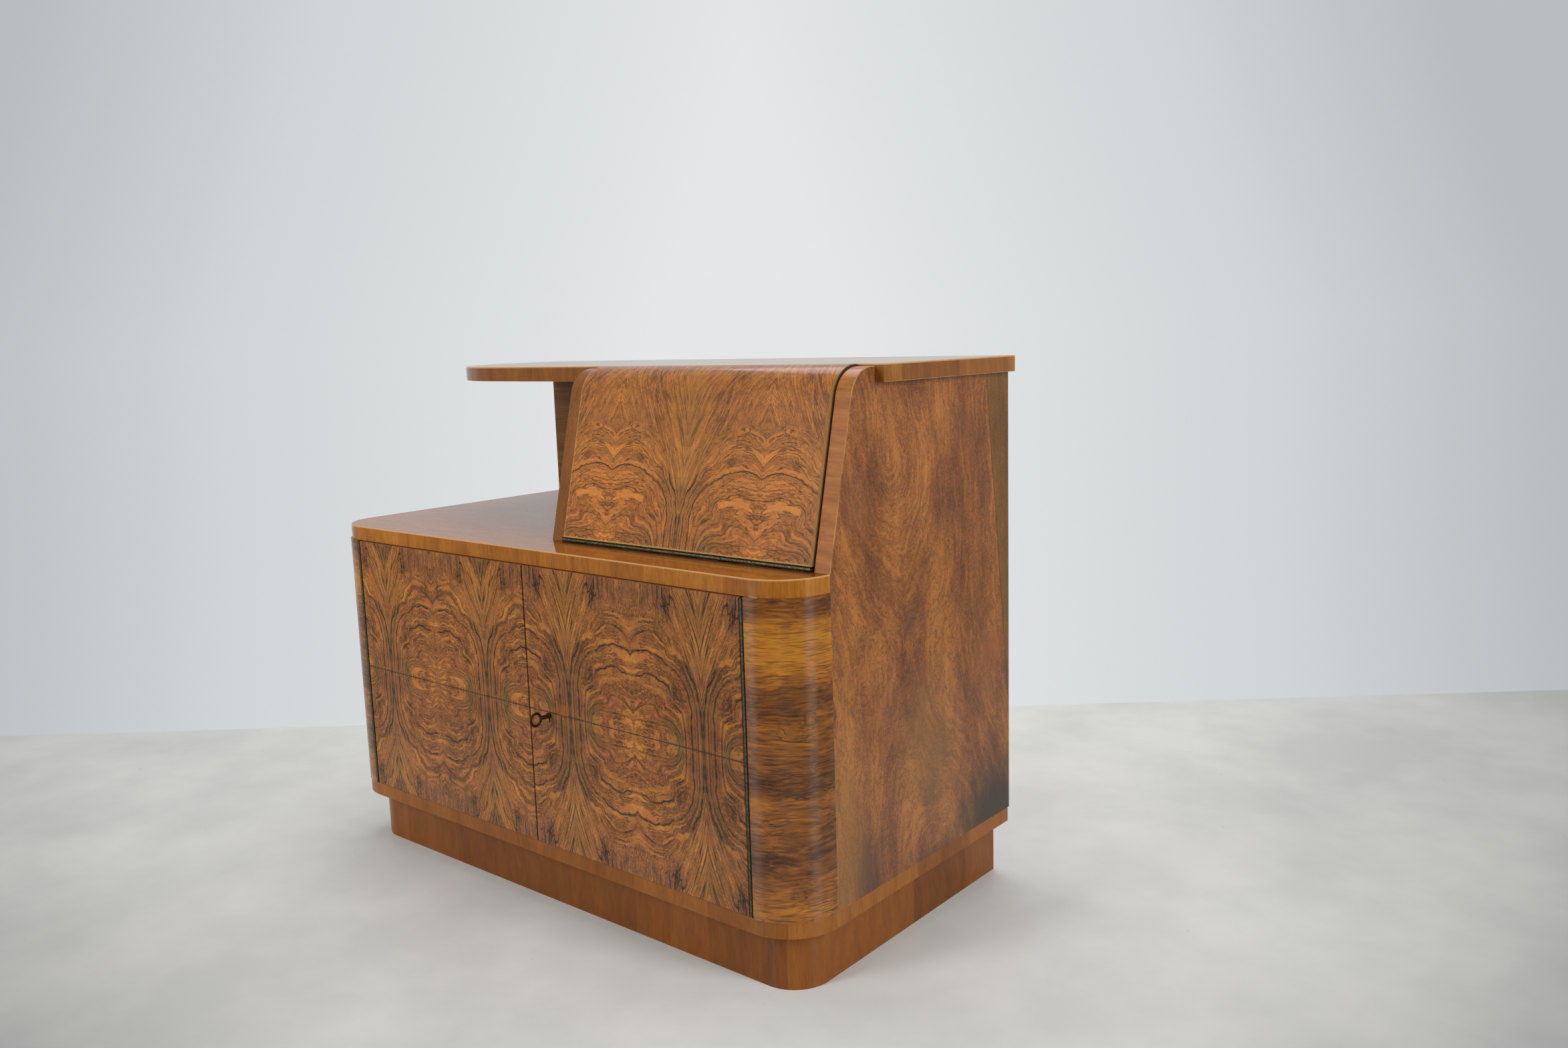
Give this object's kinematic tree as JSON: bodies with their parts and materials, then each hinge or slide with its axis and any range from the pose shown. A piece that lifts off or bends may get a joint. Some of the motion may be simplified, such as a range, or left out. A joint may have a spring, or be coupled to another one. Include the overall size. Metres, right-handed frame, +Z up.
{
  "type": "cellarette",
  "caption": "Bar cabinet with curved front corners, hinged cupboard doors with a lock and key, a leaning drop-front bar compartment, an open niche and a long top on a recessed plinth.",
  "frame": {"origin": "middle of the cabinet's footprint at floor level, on the underside of the plinth's centre rail", "axes": "+X to the cabinet's right as seen from the front, +Y towards its back, +Z up"},
  "size_m": [1.0135, 0.556, 0.8],
  "materials": {
    "walnut_figured": "French-polished figured walnut veneer",
    "walnut_side": "French-polished walnut veneer",
    "walnut_crossband": "French-polished cross-grain walnut veneer",
    "walnut_board": "French-polished walnut veneer",
    "walnut_plinth": "French-polished cross-grain walnut veneer",
    "walnut_dark": "dark polished walnut veneer",
    "interior_wood": "satin varnished wood",
    "beech": "plain planed wood",
    "plywood": "plain plywood",
    "mirror_glass": "silvered mirror glass",
    "shelf_glass": "clear polished glass",
    "hinge_brass": "aged brass",
    "fitting_brass": "satin brass",
    "steel": "plain steel",
    "key_iron": "dark aged iron"
  },
  "bodies": {
    "carcass": {"plinth_front_rail": "walnut_plinth", "plinth_right_corner": "walnut_plinth", "plinth_left_corner": "walnut_plinth", "plinth_right_rail": "walnut_plinth", "plinth_left_rail": "walnut_plinth", "plinth_back_rail": "beech", "plinth_centre_rail": "beech", "plinth_glue_blocks": "beech", "bottom_board": "walnut_board", "left_side_panel": "walnut_side", "right_side_panel": "walnut_side", "left_corner_shell": "walnut_crossband", "right_corner_shell": "walnut_crossband", "centre_partition": "interior_wood", "lower_top": "walnut_board", "lower_back_panel": "plywood", "left_shelf": "interior_wood", "right_shelf": "interior_wood", "shelf_cleats": "interior_wood", "left_door_stop": "interior_wood", "right_door_stop": "interior_wood", "compartment_panel": "walnut_crossband", "upper_back_wall": "walnut_dark", "upper_board": "walnut_board", "mirror": "mirror_glass", "glass_shelf": "shelf_glass", "glass_shelf_pins": "fitting_brass", "carcass_tongues": "beech", "right_hinge_frame_leaf": "hinge_brass", "right_hinge_pin": "steel", "left_hinge_frame_leaf": "hinge_brass", "left_hinge_pin": "steel", "flap_hinge_frame_leaf": "hinge_brass", "flap_hinge_pin": "steel", "top_bolt_keeper": "fitting_brass", "bottom_bolt_keeper": "fitting_brass"},
    "left_door_body": {"left_door": "walnut_figured", "left_hinge_door_leaf": "hinge_brass", "strike_plate": "fitting_brass", "top_bolt_case": "fitting_brass", "bottom_bolt_case": "fitting_brass"},
    "right_door_body": {"right_door": "walnut_figured", "right_hinge_door_leaf": "hinge_brass", "escutcheon": "fitting_brass", "lock_case": "steel", "lock_plate": "fitting_brass", "drill_pin": "steel"},
    "flap_body": {"flap": "walnut_figured", "flap_hinge_flap_leaf": "hinge_brass"},
    "key_body": {"key": "key_iron"},
    "lock_bolt_body": {"lock_bolt": "steel"},
    "top_bolt_body": {"top_bolt_rod": "fitting_brass"},
    "bottom_bolt_body": {"bottom_bolt_rod": "fitting_brass"}
  },
  "joints": [
    {"name": "left_door_hinge", "type": "hinge", "parent": "carcass", "child": "left_door_body", "pos_m": [-0.421, -0.258, 0.314], "axis": [0, 0, -1], "range_deg": [0, 112]},
    {"name": "right_door_hinge", "type": "hinge", "parent": "carcass", "child": "right_door_body", "pos_m": [0.421, -0.258, 0.314], "axis": [0, 0, 1], "range_deg": [0, 112]},
    {"name": "flap_hinge", "type": "hinge", "parent": "carcass", "child": "flap_body", "pos_m": [0.23925, -0.18351, 0.5498], "axis": [1, 0, 0], "range_deg": [0, 105.7]},
    {"name": "key_turn", "type": "hinge", "parent": "right_door_body", "child": "key_body", "pos_m": [0.044, -0.26, 0.306], "axis": [0, 1, 0], "range_deg": [0, 360]},
    {"name": "lock_bolt_slide", "type": "slide", "parent": "right_door_body", "child": "lock_bolt_body", "axis": [-1, 0, 0], "range_m": [0, 0.008]},
    {"name": "top_bolt_slide", "type": "slide", "parent": "left_door_body", "child": "top_bolt_body", "axis": [0, 0, 1], "range_m": [0, 0.012]},
    {"name": "bottom_bolt_slide", "type": "slide", "parent": "left_door_body", "child": "bottom_bolt_body", "axis": [0, 0, -1], "range_m": [0, 0.012]}
  ],
  "couplings": [
    {"joint": "lock_bolt_slide", "follows": "key_turn", "m_per_rad": 0.0012732}
  ]
}
